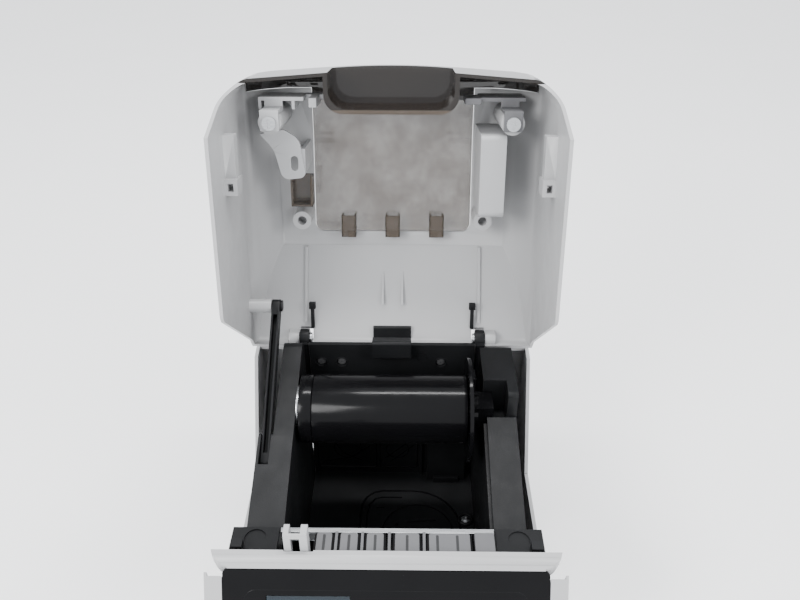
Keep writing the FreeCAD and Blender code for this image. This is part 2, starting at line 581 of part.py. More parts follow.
def rear_cover():
    """The white cover behind the bay, under the lid's hinge."""
    outer = common(prism("yz", [
        ("22.5", "seam_z+0.4"), ("rear_y", "seam_z+0.4"), ("rear_y", "hinge_z-16", "12"),
        ("hinge_y+4", "hinge_z-14", "3"), ("hinge_y-4.5", "hinge_z-15.5"),
    ], ("-half_width", "half_width")), tub("0", "seam_z", "hinge_z", "front_y", "rear_y"))
    inner = common(prism("yz", [
        ("10", "seam_z-1"), ("rear_y-wall", "seam_z-1"), ("rear_y-wall", "hinge_z-18.5", "10"),
        ("hinge_y+4", "hinge_z-16.5"), ("hinge_y-20", "hinge_z-19"),
    ], ("-half_width+wall", "half_width-wall")), tub("wall", "seam_z-1", "hinge_z", "front_y", "rear_y"))
    opening = box(("-half_width+wall", "half_width-wall"), ("20", "hinge_y+7"), ("seam_z", "hinge_z"))
    vents = [box((f"-28+{k}*8", f"-25+{k}*8"), ("rear_y-wall-1", "rear_y+1"),
        ("96", "124")) for k in range(8)]
    node("rear_cover", cut(outer, inner, opening, *vents))


# ---- chassis ---------------------------------------------------------------------------------

def wall_top(y):
    """The height of the side walls' sloping top at a place along Y."""
    return f"fin_top_rear_z-(fin_top_rear_y-({y}))*fin_slope"


def left_side_frame():
    """The left side frame: a fin that widens into the front block."""
    low = "bay_floor_z-12"
    fin = prism("yz", [
        ("block_rear_y-5", low), ("fin_top_rear_y+4", low),
        ("fin_top_rear_y+4", wall_top("fin_top_rear_y"), "7"),
        ("block_rear_y-5", wall_top("block_rear_y-5")),
    ], ("-fin_out", "-side_in"))
    fin_core = prism("yz", [
        ("block_rear_y-12", f"{low}-1"), ("fin_top_rear_y+1.5", f"{low}-1"),
        ("fin_top_rear_y+1.5", wall_top("fin_top_rear_y+1.5") + "-top_thick-1", "5"),
        ("block_rear_y-12", wall_top("block_rear_y-12") + "-top_thick"),
    ], ("-fin_out+2.2", "-side_in-2.2"))
    skirt = box(("-side_out", "-fin_out+2.2"), ("block_rear_y-1", "fin_top_rear_y+4"),
        (low, "bay_floor_z+50"))
    skirt_core = box(("-side_out+2.2", "-fin_out+1"), ("block_rear_y-2", "fin_top_rear_y+2"),
                     (f"{low}-1", "bay_floor_z+47.8"))
    block = prism("yz", [
        ("block_front_y", low), ("block_rear_y", low), ("block_rear_y", wall_top("block_rear_y"), "2"),
        ("block_front_y", wall_top("block_front_y"), "3"),
    ], ("-side_out", "-side_in"))
    block_core = prism("yz", [
        ("block_front_y+2.5", f"{low}-1"), ("block_rear_y+1", f"{low}-1"),
        ("block_rear_y+1", wall_top("block_rear_y+1") + "-top_thick"),
        ("block_front_y+2.5", wall_top("block_front_y+2.5") + "-top_thick"),
    ], ("-side_out+1.8", "-side_in-2.2"))
    stay_way = box(("-stay_x-stay_width/2-0.5", "-stay_x+stay_width/2+0.5"), ("-34", "block_rear_y+1"),
        ("84", "180"))
    web = box(("-stay_x+stay_width/2+1", "-stay_x+stay_width/2+3"), ("block_front_y+1", "block_rear_y-1"),
              (low, "block_web_top"))
    slot = cut(rod("x", "stay_slot_radius+4.2", ("-side_out+1", "-side_in-3"), y="stay_slot_y",
        z="stay_slot_z"),
               rod("x", "stay_slot_radius-4.2", ("-side_out", "-side_in"), y="stay_slot_y",
                   z="stay_slot_z"))
    web_cut = cut(web, common(slot, box(("-90", "-60"), ("-70", "block_rear_y+4"), ("84", "150"))))
    web_fit = common(web_cut, block)
    return node("left_side_frame", fuse(cut(fuse(fin, skirt, block), fin_core, skirt_core, block_core,
        stay_way), web_fit))


def right_side_frame():
    """The right side frame with its cover panel."""
    low = "bay_floor_z-12"
    body = prism("yz", [
        ("block_front_y", low), ("right_block_rear", low), ("right_block_rear", "right_block_top", "2"),
        ("right_block_front", "right_block_top", "3"), ("right_block_front", "right_panel_rear"),
        ("block_front_y", wall_top("block_front_y") + "-panel_drop-2.6"),
    ], ("side_in", "side_out"))
    core = prism("yz", [
        ("block_front_y+2.5", f"{low}-1"), ("right_block_rear-2.5", f"{low}-1"),
        ("right_block_rear-2.5", "139.4-3"), ("right_block_front+18", "139.4-3"),
        ("right_block_front", "139.4-3"), ("block_front_y+2.5",
        wall_top("block_front_y") + "-panel_drop-5"),
    ], ("side_in+2.2", "side_out-2"))
    pocket = box(("side_in-1", "side_in+16"), ("roll_y-9.4", "roll_y+9.4"), ("139.4", "right_block_top+1"))
    node("right_side_frame", cut(body, core, pocket))
    panel = prism("yz", [
        ("block_front_y+8", wall_top("block_front_y+8") + "-panel_drop-2.6", "0.8"),
        ("right_block_front-4", wall_top("right_block_front-4") + "-panel_drop-2.6"),
        ("right_block_front-4", wall_top("right_block_front-4") + "-panel_drop", "1"),
        ("block_front_y+8", wall_top("block_front_y+8") + "-panel_drop", "1"),
    ], ("side_in+2", "side_out-1"))
    node("right_cover_panel", cut(panel, box(("side_in-1", "side_in+16"), ("roll_y-9.4", "roll_y+9.4"),
                                             ("139.4", "right_block_top+1"))))


def media_bay():
    """The floor and the walls of the space for the roll."""
    across = ("-side_in+0.2", "side_in-0.2")
    floor = box(across, ("bay_front_y", "bay_rear_y"), ("bay_floor_z-sheet", "bay_floor_z"))
    front = box(across, ("bay_front_y", "bay_front_y+sheet"), ("bay_floor_z-0.5", "128"))
    ring = cut(rod("z", "26", ("bay_floor_z-0.5", "bay_floor_z+1"), "18", "-20"),
               rod("z", "24", ("bay_floor_z-1", "bay_floor_z+2"), "18", "-20"))
    ledge = box(("28", "58"), ("bay_rear_y-8", "bay_rear_y"), ("bay_floor_z-0.5", "bay_floor_z+42"))
    shelf = box(("33", "53"), ("bay_rear_y-11", "bay_rear_y-7"), ("bay_floor_z-0.5", "bay_floor_z+5"))
    node("bay_floor", fuse(floor, front, ring, ledge, shelf))
    wall = box(across, ("bay_rear_y", "bay_rear_y+sheet"), ("bay_floor_z-sheet", "rear_panel_low"))
    rib = box(("22", "24"), ("bay_rear_y-3", "bay_rear_y+0.5"), ("bay_floor_z+0.3", "rear_panel_low"))
    frames = [cut(box((f"{x}-18", f"{x}+18"), ("bay_rear_y-1", "bay_rear_y+0.5"), ("96", "126")),
                  box((f"{x}-16.5", f"{x}+16.5"), ("bay_rear_y-2", "bay_rear_y"), ("97.5", "124.5")))
              for x in (-40, 0)]
    node("bay_rear_wall", fuse(wall, rib, *frames))


def rear_panel():
    """The panel across the back of the bay, with three sunk screws, and the lid's stop block."""
    plate = box(("-60.4", "60.4"), ("bay_rear_y", "bay_rear_y+3.2"),
        ("rear_panel_low+0.2", "rear_panel_top"))
    spots = [(-52, 153), (-37, 153), (36, 153)]
    holes = [rod("y", "3.6", ("bay_rear_y-1", "bay_rear_y+2.2"), f"{x}", z=f"{z}") for x, z in spots]
    mark = cut(rod("y", "4", ("bay_rear_y-1", "bay_rear_y+0.5"), "22", z="158"),
               rod("y", "3.4", ("bay_rear_y-2", "bay_rear_y+1"), "22", z="158"))
    node("rear_panel", cut(plate, *holes, mark))
    screws = [cut(rod("y", "3.2", ("bay_rear_y+0.6", "bay_rear_y+2.2"), f"{x}", z=f"{z}"),
                  box((f"{x}-2", f"{x}+2"), ("bay_rear_y", "bay_rear_y+1.4"), (f"{z}-0.5", f"{z}+0.5")))
              for x, z in spots]
    node("panel_screws", group(*screws))
    block = prism("yz", [("bay_rear_y-8", "162", "2"), ("bay_rear_y-8", "stop_top", "2"),
        ("bay_rear_y+2.8", "stop_top-4"),
                         ("bay_rear_y+2.8", "rear_panel_top"), ("bay_rear_y", "rear_panel_top"),
                         ("bay_rear_y", "162")], ("-14", "14"))
    node("lid_stop_block", block)


def hinges():
    """The arms and pins that the lid turns on."""
    arm = fuse(rod("x", "6.5", ("hinge_arm_in", "hinge_arm_out"), y="hinge_y", z="hinge_z"),
               box(("hinge_arm_in", "hinge_arm_out"), ("bay_rear_y+sheet", "hinge_y+3"),
                   ("110", "hinge_z")))
    bore = rod("x", "hinge_pin_radius+fit", ("hinge_arm_in-1", "hinge_arm_out+1"), y="hinge_y", z="hinge_z")
    node("hinge_arms", group(*both_sides(cut(arm, bore))))
    pin = rod("x", "hinge_pin_radius", ("hinge_arm_in-1", "rib_x+12"), y="hinge_y", z="hinge_z")
    cap = rod("x", "3.8", ("hinge_arm_in-1.8", "hinge_arm_in-0.2"), y="hinge_y", z="hinge_z")
    node("hinge_pins", group(*both_sides(fuse(pin, cap))))


def corner_plates():
    """The two black plates beside the print mechanism, narrow outside where the lid's catches pass."""
    main = box(("side_in+0.4", "92.3"), ("cover_back_y+0.2", "-81"), ("corner_z-2.5", "corner_z"))
    tip = box(("92", "top_half-0.8"), ("cover_back_y+0.2", "cover_back_y+1.7"),
        ("corner_z-2.5", "corner_z"))
    dish = rod("z", "6.5", ("corner_z-1", "corner_z+1"), "lid_boss_x", "hinge_y-lid_boss_y")
    clip = cut(box(("84", "91"), ("cover_back_y+5", "cover_back_y+11"), ("corner_z-1", "corner_z+5")),
               box(("86", "89"), ("cover_back_y+4", "cover_back_y+12"), ("corner_z+0.5", "corner_z+3.5")))
    leg = box(("88", "92"), ("cover_back_y+4", "-92"), ("88", "corner_z-2"))
    whole = cut(fuse(main, tip, clip, leg), dish)
    node("corner_plates", group(*both_sides(whole)))


def latch_hook():
    """The white hook on the base between whose cheeks the lid's tab comes down."""
    front = box(("-58", "-44.4"), ("hook_back_y-6.6", "hook_back_y-5.4"),
        ("cover_top-20", "cover_top+hook_high"))
    cheeks = [box(x, ("hook_back_y-6.6", "hook_back_y+1"), ("cover_top-20", "cover_top+hook_high"))
              for x in (("-58", "-54.7"), ("-48.3", "-44.4"))]
    foot = box(("-58", "-44.4"), ("hook_back_y-6.6", "hook_back_y+6"), ("cover_top-22", "cover_top-19"))
    slot = box(("-54", "-49"), ("hook_back_y-8", "hook_back_y-4"), ("cover_top-3", "cover_top+10"))
    node("latch_hook", cut(fuse(front, *cheeks, foot), slot))


# ---- roll spindle ----------------------------------------------------------------------------

def spindle():
    """The tube that carries the roll, with its axle and flanges."""
    spot = dict(y="roll_y", z="roll_z")
    axle = rod("x", "axle_radius", ("-side_in+1", "tube_right+4"), **spot)
    seat = rod("x", "16", ("-side_in", "-side_in+1.2"), **spot)
    node("spindle_axle", fuse(axle, seat))
    tube = cut(rod("x", "tube_radius", ("-tube_left+0.6", "tube_right-3"), **spot),
               rod("x", "tube_radius-tube_wall", ("-tube_left-1", "tube_right"), **spot))
    hub = rod("x", "tube_radius-tube_wall+0.2", ("-tube_left+1.2", "-tube_left+4.2"), **spot)
    bore = rod("x", "axle_radius+fit", ("-side_in", "side_in"), **spot)
    groove = cut(rod("x", "tube_radius+1", ("-53", "-52.4"), **spot),
                 rod("x", "tube_radius-0.4", ("-54", "-52"), **spot))
    cap = fuse(rod("x", "tube_radius", ("tube_right-3", "tube_right"), **spot),
               rod("x", "tube_radius-tube_wall-0.05", ("tube_right-8", "tube_right-3"), **spot))
    node("spindle_tube", group(cut(fuse(tube, hub), bore, groove), cut(cap, bore)))
    disc = rod("x", "flange_radius", ("tube_right+0.6", "tube_right+3"), **spot)
    hub = rod("x", "10", ("tube_right+2", "tube_right+8"), **spot)
    lug = box(("tube_right+3", "side_in+6.4"), ("roll_y-8.7", "roll_y+8.7"), ("roll_z-8.7", "roll_z+8.7"))
    socket = rod("x", "axle_radius+fit", ("tube_right", "side_in+2"), **spot)
    rib = box(("tube_right+2.5", "tube_right+5"), ("roll_y-5", "roll_y+5"), ("roll_z-32", "roll_z+32"))
    node("media_guide", cut(fuse(disc, hub, lug, rib), socket))


# ---- print mechanism -------------------------------------------------------------------------

def toothed(teeth, module, wide, bore, phase):
    """A straight-toothed wheel about X, as a plain shape; phase turns it in tooth pitches."""
    pitch = teeth * module / 2
    step = 2 * math.pi / teeth
    points = []
    for tooth in range(teeth):
        middle = (tooth + phase) * step
        for radius, turn in ((pitch - 1.2 * module, -0.3), (pitch + 0.8 * module, -0.11),
                             (pitch + 0.8 * module, 0.11), (pitch - 1.2 * module, 0.3)):
            angle = middle + turn * step
            points.append(FreeCAD.Vector(0, radius * math.cos(angle), radius * math.sin(angle)))
    rim = Part.Face(Part.makePolygon(points + points[:1]))
    wheel = rim.extrude(FreeCAD.Vector(wide, 0, 0))
    hole = Part.makeCylinder(bore, wide + 2, FreeCAD.Vector(-1, 0, 0), FreeCAD.Vector(1, 0, 0))
    return wheel.cut(hole)


def wheel(teeth, x, y, z, phase, bore="shaft_radius"):
    """A gear of the print mechanism, turned by a share of one tooth so that it meshes."""
    item = doc.addObject("Part::Feature", "Wheel")
    count = int(size(teeth))
    item.Shape = toothed(count, size("gear_module"), size("gear_wide"), size(bore), phase)
    return put(item, x, y, z)


def platen():
    """The roller, its shaft and its gear."""
    spot = dict(y="platen_y", z="platen_z")
    sleeve = rod("x", "platen_radius", ("-platen_half", "platen_half"), **spot)
    node("platen_roller", cut(sleeve, rod("x", "shaft_radius", ("-60", "60"), **spot)))
    node("platen_shaft", rod("x", "shaft_radius", ("-plate_x-8.4", "plate_x+4"), **spot))
    bush = cut(fuse(rod("x", "5", ("plate_x-0.1", "plate_x+plate_thick+0.1"), **spot),
                    rod("x", "6.5", ("plate_x-1.4", "plate_x"), **spot)),
               rod("x", "shaft_radius+fit", ("plate_x-3", "plate_x+plate_thick+2"), **spot))
    node("platen_bushes", group(*both_sides(bush)))


def gear_train():
    """The idler, the pinion and the motor."""
    low_z = "platen_z-(platen_teeth+idler_teeth)*gear_module/2"
    motor_y = "platen_y+(idler_teeth+pinion_teeth)*gear_module/2"
    gear_x = "-plate_x-plate_thick-6.2"
    node("platen_gear", wheel("platen_teeth", gear_x, "platen_y", "platen_z", 0.5))
    node("idler_gear", wheel("idler_teeth", gear_x, "platen_y", low_z, 0))
    pinion = wheel("pinion_teeth", gear_x, motor_y, low_z, 0.5, "motor_shaft")
    shaft = rod("x", "motor_shaft", ("-plate_x-8.4", "-plate_x+motor_long-4"), y=motor_y, z=low_z)
    node("motor_pinion", fuse(pinion, shaft))
    can = rod("x", "motor_radius", ("-plate_x", "-plate_x+motor_long"), y=motor_y, z=low_z)
    collar = rod("x", "5.5", ("-plate_x-1", "-plate_x+1"), y=motor_y, z=low_z)
    bore = rod("x", "2.2", ("-plate_x-2", "-plate_x+motor_long-2"), y=motor_y, z=low_z)
    ears = box(("-plate_x", "-plate_x+1.6"), (f"{motor_y}-5", f"{motor_y}+5"),
        (f"{low_z}-23", f"{low_z}+23"))
    node("motor", cut(fuse(can, collar, ears), bore))


def mech_frame():
    """The two plates of the print mechanism and their rods."""
    motor_y = "platen_y+(idler_teeth+pinion_teeth)*gear_module/2"
    low_z = "platen_z-(platen_teeth+idler_teeth)*gear_module/2"
    plate = prism("yz", [
        ("-136", "10.5"), ("-79", "10.5"), ("-79", "112", "4"), ("-113", "112", "4"), ("-127", "92", "6"),
        ("-136", "74", "4"),
    ], ("plate_x", "plate_x+plate_thick"))
    foot = box(("plate_x-8", "plate_x+1"), ("-136", "-79"), ("10.5", "12.5"))
    bush_hole = rod("x", "5", ("plate_x-1", "plate_x+5"), y="platen_y", z="platen_z")
    pivot_hole = rod("x", "2.5", ("plate_x-1", "plate_x+5"), y="head_pivot_y", z="head_pivot_z")
    left, right = both_sides(cut(fuse(plate, foot), bush_hole, pivot_hole))[::-1]
    motor_hole = rod("x", "5.6", ("-plate_x-5", "-plate_x+1"), y=motor_y, z=low_z)
    window = box(("plate_x-1", "plate_x+5"), ("-124", "-92"), ("24", "50"))
    pin = rod("x", "shaft_radius-fit", ("-plate_x-plate_thick-6.8", "-plate_x-1"), y="platen_y", z=low_z)
    node("mech_plates", group(fuse(cut(left, motor_hole), pin), cut(right, window)))


def head_parts():
    """The print head under its heat sink, on a bracket that tips about a rod; two springs press it down."""
    pivot = rod("x", "2.5", ("-plate_x-plate_thick-1", "plate_x+plate_thick+1"), y="head_pivot_y",
        z="head_pivot_z")
    rail = rod("x", "1.5", ("-side_in+0.2", "side_in-0.2"), y="-91", z="122")
    node("guide_rods", group(pivot, rail))
    node("print_head", box(("-55", "55"), ("platen_y-6", "platen_y+7"), ("platen_z+8.3", "platen_z+10.3")))
    block = box(("-54", "54"), ("platen_y-3", "platen_y+13"), ("platen_z+10.3", "platen_z+14"))
    fins = [box(("-54", "54"), (f"platen_y+{k}*3+1", f"platen_y+{k}*3+2.2"),
        ("platen_z+13.8", "platen_z+17"))
            for k in range(4)]
    node("head_heatsink", fuse(block, *fins))
    ear = cut(fuse(rod("x", "4.6", ("56", "59"), y="head_pivot_y", z="head_pivot_z"),
                   box(("56", "59"), ("platen_y+4", "head_pivot_y"), ("platen_z+12", "head_pivot_z+4"))),
              rod("x", "2.5+fit", ("50", "60"), y="head_pivot_y", z="head_pivot_z"))
    bridge = box(("-59", "59"), ("platen_y+13.2", "platen_y+14.8"), ("platen_z+11", "head_pivot_z-4.4"))
    tongue = box(("-54", "54"), ("platen_y+13", "platen_y+14"), ("platen_z+11", "platen_z+14"))
    node("head_bracket", fuse(*both_sides(ear), bridge, tongue))


def spring(x, y, low, high, radius, wire, turns):
    """A close-wound coil spring standing on end."""
    item = doc.addObject("Part::Feature", "Coil")
    tall = high - low - wire
    helix = Part.makeHelix(tall / turns, tall, radius)
    section = Part.Wire(Part.makeCircle(wire / 2, FreeCAD.Vector(radius, 0, 0), FreeCAD.Vector(0, 1, 0)))
    item.Shape = Part.Wire(helix.Edges).makePipeShell([section], True, False)
    return put(item, x, y, low + wire / 2)


def springs():
    """The two coil springs that press the head down."""
    low = value("platen_z+17")
    seats = [spring(f"{x}", "platen_y+4.6", low + 0.3, low + 9, 3.2, 0.8, 5) for x in (-36, 36)]
    node("head_springs", group(*seats))


def bay_front_parts():
    """The bright cross bar, the grey comb that guides the labels and the rail of the label sensor."""
    node("cross_bar", box(("-side_in+0.2", "side_in-0.2"), ("-84", "-80.5"), ("132", "140.5")))
    shelf = box(("-43", "side_in-0.4"), ("cover_back_y+0.3", "-84.2"), ("131", "134"))
    keys = [box((f"{x}", f"{x}+{wide}"), ("cover_back_y+1", "-85.5"), ("133.5", "143"))
            for x, wide in ((-42.5, 11), (-28.5, 11.6), (-10.5, 9.4), (5.3, 13.4), (25.7, 24), (52, 11))]
    pins = [box((f"{x}", f"{x}+1.4"), ("cover_back_y+1", "-84.6"), ("133.5", "141.5"))
            for x in (-31, -29.9, -15.6, -13.2, 0.6, 3, 20.4, 23, 50)]
    node("guide_comb", fuse(shelf, *keys, *pins[2:]))
    body = cut(box(("-7", "7"), ("-96", "-86"), ("117", "127")),
               rod("x", "1.5+fit", ("-10", "10"), y="-91", z="122"))
    node("media_sensor", body)


# ---- electrics -------------------------------------------------------------------------------

def boards():
    """The main board and the power board."""
    board = box(("-78", "30"), ("-40", "70"), ("16", "17.6"))
    chips = [box((f"{x}", f"{x}+{w}"), (f"{y}", f"{y}+{w}"), ("17.4", f"17.6+{tall}"))
             for x, y, w, tall in ((-50, 0, 22, 2), (-70, 34, 14, 2), (-18, 30, 12, 2), (-66, -30, 10, 6),
                                   (2, -28, 12, 8), (-30, -32, 9, 6))]
    node("main_board", fuse(board, *chips))
    supply = box(("34", "80"), ("-36", "70"), ("16", "17.6"))
    coil = box(("37", "50"), ("-20", "0"), ("17.4", "30"))
    cans = [rod("z", "4.5", ("17.4", "31"), "57", f"{y}") for y in (-20, -8, 4)]
    node("power_board", fuse(supply, coil, *cans))


def socket(x, z, mouth_x, mouth_z):
    """A connector in the rear wall: its body, with the opening that a plug goes into."""
    return cut(box(x, ("78", "rear_y-0.4"), z), box(mouth_x, ("84", "rear_y+1"), mouth_z))


def sockets():
    """The power inlet, the data sockets and the switch."""
    blades = [rod("y", "0.9", ("83", "93"), f"{x}", z=f"{z}") for x, z in ((45, 26), (45, 34), (49.6, 30))]
    inlet = socket(("40.3", "54"), ("18.3", "41.7"), ("42", "52.4"), ("22", "38"))
    housing = cut(box(("53.5", "67.7"), ("78", "rear_y-0.4"), ("18.3", "41.7")),
                  box(("56.4", "66.4"), ("82", "rear_y+1"), ("20.5", "39.5")))
    node("power_inlet", fuse(inlet, housing, *blades))
    usb = socket(("8.3", "21.7"), ("20.3", "31.7"), ("9.6", "20.4"), ("21.4", "30.6"))
    network = socket(("-23.7", "-6.3"), ("20.3", "35.7"), ("-21.2", "-8.8"), ("22.4", "33.4"))
    node("data_sockets", group(usb, network))
    rocker = prism("yz", [("rear_y-9", "29.2"), ("rear_y-9", "30.8"), ("rear_y-2.6", "38", "1"),
                          ("rear_y+1.4", "38", "1"), ("rear_y-0.8", "30", "4"), ("rear_y-2.6", "22", "1"),
                          ("rear_y-5.6", "22.6", "1")], ("56.8", "66"))
    pin_hole = rod("x", "1.5", ("56", "67"), y="91.5", z="30")
    node("power_switch", cut(rocker, pin_hole))


# ---- build -----------------------------------------------------------------------------------

def check_objects():
    """Stop if any object or shape failed."""
    bad = [o.Name + " " + o.Label for o in doc.Objects if "Invalid" in o.State or "Error" in o.State]
    if bad:
        raise RuntimeError("failed objects: " + ", ".join(bad))
    for item in nodes:
        if item.Shape.isNull() or not item.Shape.isValid():
            raise RuntimeError("bad shape: " + item.Label)


def export_nodes():
    """Write each sub-part to its own file."""
    os.makedirs("parts", exist_ok=True)
    for item in nodes:
        item.Shape.exportStep("parts/" + item.Label + ".step")
        reach = item.Shape.BoundBox
        print(f"{item.Label:22s} solids {len(item.Shape.Solids)} volume {item.Shape.Volume / 1000:8.2f} cm3 "
              f"x {reach.XMin:7.1f} {reach.XMax:7.1f} y {reach.YMin:7.1f} {reach.YMax:7.1f} "
              f"z {reach.ZMin:6.1f} {reach.ZMax:6.1f}")


def main():
    """Build every sub-part, check them and write them."""
    lid_shell()
    lid_window()
    latch_carrier()
    stop_plate()
    lid_bumper()
    lid_brackets()
    lid_screws()
    stay()
    lower_shell()
    rubber_feet()
    base_plate()
    front_cover()
    front_panel()
    display()
    keys()
    exit_parts()
    rear_cover()
    left_side_frame()
    right_side_frame()
    media_bay()
    rear_panel()
    hinges()
    corner_plates()
    latch_hook()
    spindle()
    platen()
    gear_train()
    mech_frame()
    head_parts()
    springs()
    bay_front_parts()
    boards()
    sockets()
    doc.recompute()
    check_objects()
    export_nodes()


main()
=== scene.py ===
import json
import math

import bmesh
import bpy
from mathutils import Matrix, Vector


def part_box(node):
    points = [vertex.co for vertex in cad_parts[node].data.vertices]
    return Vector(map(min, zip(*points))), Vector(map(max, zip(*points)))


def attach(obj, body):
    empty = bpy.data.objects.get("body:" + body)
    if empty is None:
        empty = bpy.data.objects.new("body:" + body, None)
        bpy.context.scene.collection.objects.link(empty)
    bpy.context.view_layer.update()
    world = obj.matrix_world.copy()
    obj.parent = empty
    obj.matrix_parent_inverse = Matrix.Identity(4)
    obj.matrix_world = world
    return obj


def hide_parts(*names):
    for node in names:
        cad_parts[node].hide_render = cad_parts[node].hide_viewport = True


# Looks of a thermal label printer with its lid open. Metres, +X right, +Y back, +Z up.

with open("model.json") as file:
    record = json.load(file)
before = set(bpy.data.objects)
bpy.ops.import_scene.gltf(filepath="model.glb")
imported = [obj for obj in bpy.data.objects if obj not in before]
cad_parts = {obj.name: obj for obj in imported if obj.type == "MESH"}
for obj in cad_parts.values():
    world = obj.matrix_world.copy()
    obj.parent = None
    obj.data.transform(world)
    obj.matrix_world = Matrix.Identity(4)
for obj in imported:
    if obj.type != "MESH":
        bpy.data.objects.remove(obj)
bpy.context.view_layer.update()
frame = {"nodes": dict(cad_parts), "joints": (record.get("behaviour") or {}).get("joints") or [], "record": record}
nodes = frame["nodes"]
slot_of = {row["node"]: row["material_slot"] for row in frame["record"]["subparts"]}
joint_of = {joint["name"]: joint for joint in frame["joints"]}

MM = 0.001
LENS = 34.875
CAMERA_PLACE = (0.011, -0.3875, 0.5195)
CAMERA_TILT = math.radians(55)
CAMERA_TURN = math.radians(0.65)
HINGE = Vector(joint_of["lid_hinge"]["pos_m"])
LID_OPEN = math.radians(joint_of["lid_hinge"]["range_deg"][1])
INWARD = Vector(joint_of["key_feed_press"]["axis"])
PANE_FRONT = -0.1675
STRAP_X = 58.8
CLIP_PITCH = 32
CLIP_HALF = 4.6
SCREW_XS = (-52, -37, 36)


# ---- materials -------------------------------------------------------------------------------

def new_material(name):
    """A node material, its node tree and its Principled shader."""
    material = bpy.data.materials.new(name)
    material.use_nodes = True
    tree = material.node_tree
    shader = tree.nodes["Principled BSDF"]
    return material, tree, shader


def add(tree, kind, **settings):
    """A new node of that kind with its settings."""
    node = tree.nodes.new(kind)
    for key, value in settings.items():
        setattr(node, key, value)
    return node


def noise(tree, scale, detail=3, roughness=0.5, stretch=(1, 1, 1)):
    """A noise pattern fixed to the piece, with its scale in waves to the metre."""
    place = add(tree, "ShaderNodeTexCoord")
    mapping = add(tree, "ShaderNodeMapping")
    mapping.inputs["Scale"].default_value = stretch
    texture = add(tree, "ShaderNodeTexNoise")
    texture.inputs["Scale"].default_value = scale
    texture.inputs["Detail"].default_value = detail
    texture.inputs["Roughness"].default_value = roughness
    tree.links.new(place.outputs["Object"], mapping.inputs["Vector"])
    tree.links.new(mapping.outputs["Vector"], texture.inputs["Vector"])
    return texture.outputs["Fac"]


def remap(tree, source, low, high, start=0.35, end=0.65):
    """The pattern's middle range spread from low to high."""
    spread = add(tree, "ShaderNodeMapRange")
    spread.inputs["From Min"].default_value = start
    spread.inputs["From Max"].default_value = end
    spread.inputs["To Min"].default_value = low
    spread.inputs["To Max"].default_value = high
    tree.links.new(source, spread.inputs["Value"])
    return spread.outputs["Result"]


def two_tone(tree, source, first, second, start=0.3, end=0.7):
    """A pattern turned into a blend of two colours."""
    ramp = add(tree, "ShaderNodeValToRGB")
    ramp.color_ramp.elements[0].position = start
    ramp.color_ramp.elements[0].color = (*first, 1)
    ramp.color_ramp.elements[1].position = end
    ramp.color_ramp.elements[1].color = (*second, 1)
    tree.links.new(source, ramp.inputs["Fac"])
    return ramp.outputs["Color"]


def relief(tree, source, depth, strength=1.0, after=None):
    """A bump of that depth in metres, on top of an earlier one if there is one."""
    bump = add(tree, "ShaderNodeBump")
    bump.inputs["Distance"].default_value = depth
    bump.inputs["Strength"].default_value = strength
    tree.links.new(source, bump.inputs["Height"])
    if after:
        tree.links.new(after, bump.inputs["Normal"])
    return bump.outputs["Normal"]


def plastic(name, colour, rough, grain=1500, depth=0.00003, tint=0.06, spread=0.06, coat=0.0, specular=0.5):
    """Moulded plastic: a fine eroded grain, slow changes of tone and patches of handling shine."""
    material, tree, shader = new_material(name)
    darker = tuple(c * (1 - tint) for c in colour)
    lighter = tuple(min(c * (1 + tint), 1) for c in colour)
    tone = two_tone(tree, noise(tree, 28, 4), darker, lighter)
    tree.links.new(tone, shader.inputs["Base Color"])
    shine = remap(tree, noise(tree, 60, 5, 0.6), rough - spread, rough + spread)
    tree.links.new(shine, shader.inputs["Roughness"])
    fine = relief(tree, noise(tree, grain, 2), depth)
    wave = relief(tree, noise(tree, 90, 1), depth * 2, 0.35, fine)
    tree.links.new(wave, shader.inputs["Normal"])
    shader.inputs["Coat Weight"].default_value = coat
    shader.inputs["Coat Roughness"].default_value = 0.08
    shader.inputs["Specular IOR Level"].default_value = specular
    return material


def metal(name, colour, rough, brush=(1, 1, 1), scale=900, depth=0.00001):
    """Bare metal, brushed along the axis that the pattern is stretched on."""
    material, tree, shader = new_material(name)
    shader.inputs["Metallic"].default_value = 1.0
    lines = noise(tree, scale, 3, 0.6, brush)
    tone = two_tone(tree, lines, tuple(c * 0.86 for c in colour), colour)
    tree.links.new(tone, shader.inputs["Base Color"])
    tree.links.new(remap(tree, lines, rough - 0.08, rough + 0.1), shader.inputs["Roughness"])
    tree.links.new(relief(tree, lines, depth), shader.inputs["Normal"])
    return material


def pane(name, colour, alpha, rough=0.05):
    """Clear tinted plastic with faint moulding waves, dust and fine scratches."""
    material, tree, shader = new_material(name)
    tone = two_tone(tree, noise(tree, 35, 4), tuple(c * 0.85 for c in colour), colour)
    tree.links.new(tone, shader.inputs["Base Color"])
    shader.inputs["IOR"].default_value = 1.49
    dust = noise(tree, 700, 6, 0.8)
    tree.links.new(remap(tree, dust, rough, rough + 0.14, 0.5, 0.75), shader.inputs["Roughness"])
    tree.links.new(remap(tree, noise(tree, 50, 5, 0.7), alpha - 0.05, alpha + 0.05), shader.inputs["Alpha"])
    tree.links.new(relief(tree, noise(tree, 45, 2), 0.00006, 0.4), shader.inputs["Normal"])
    return material


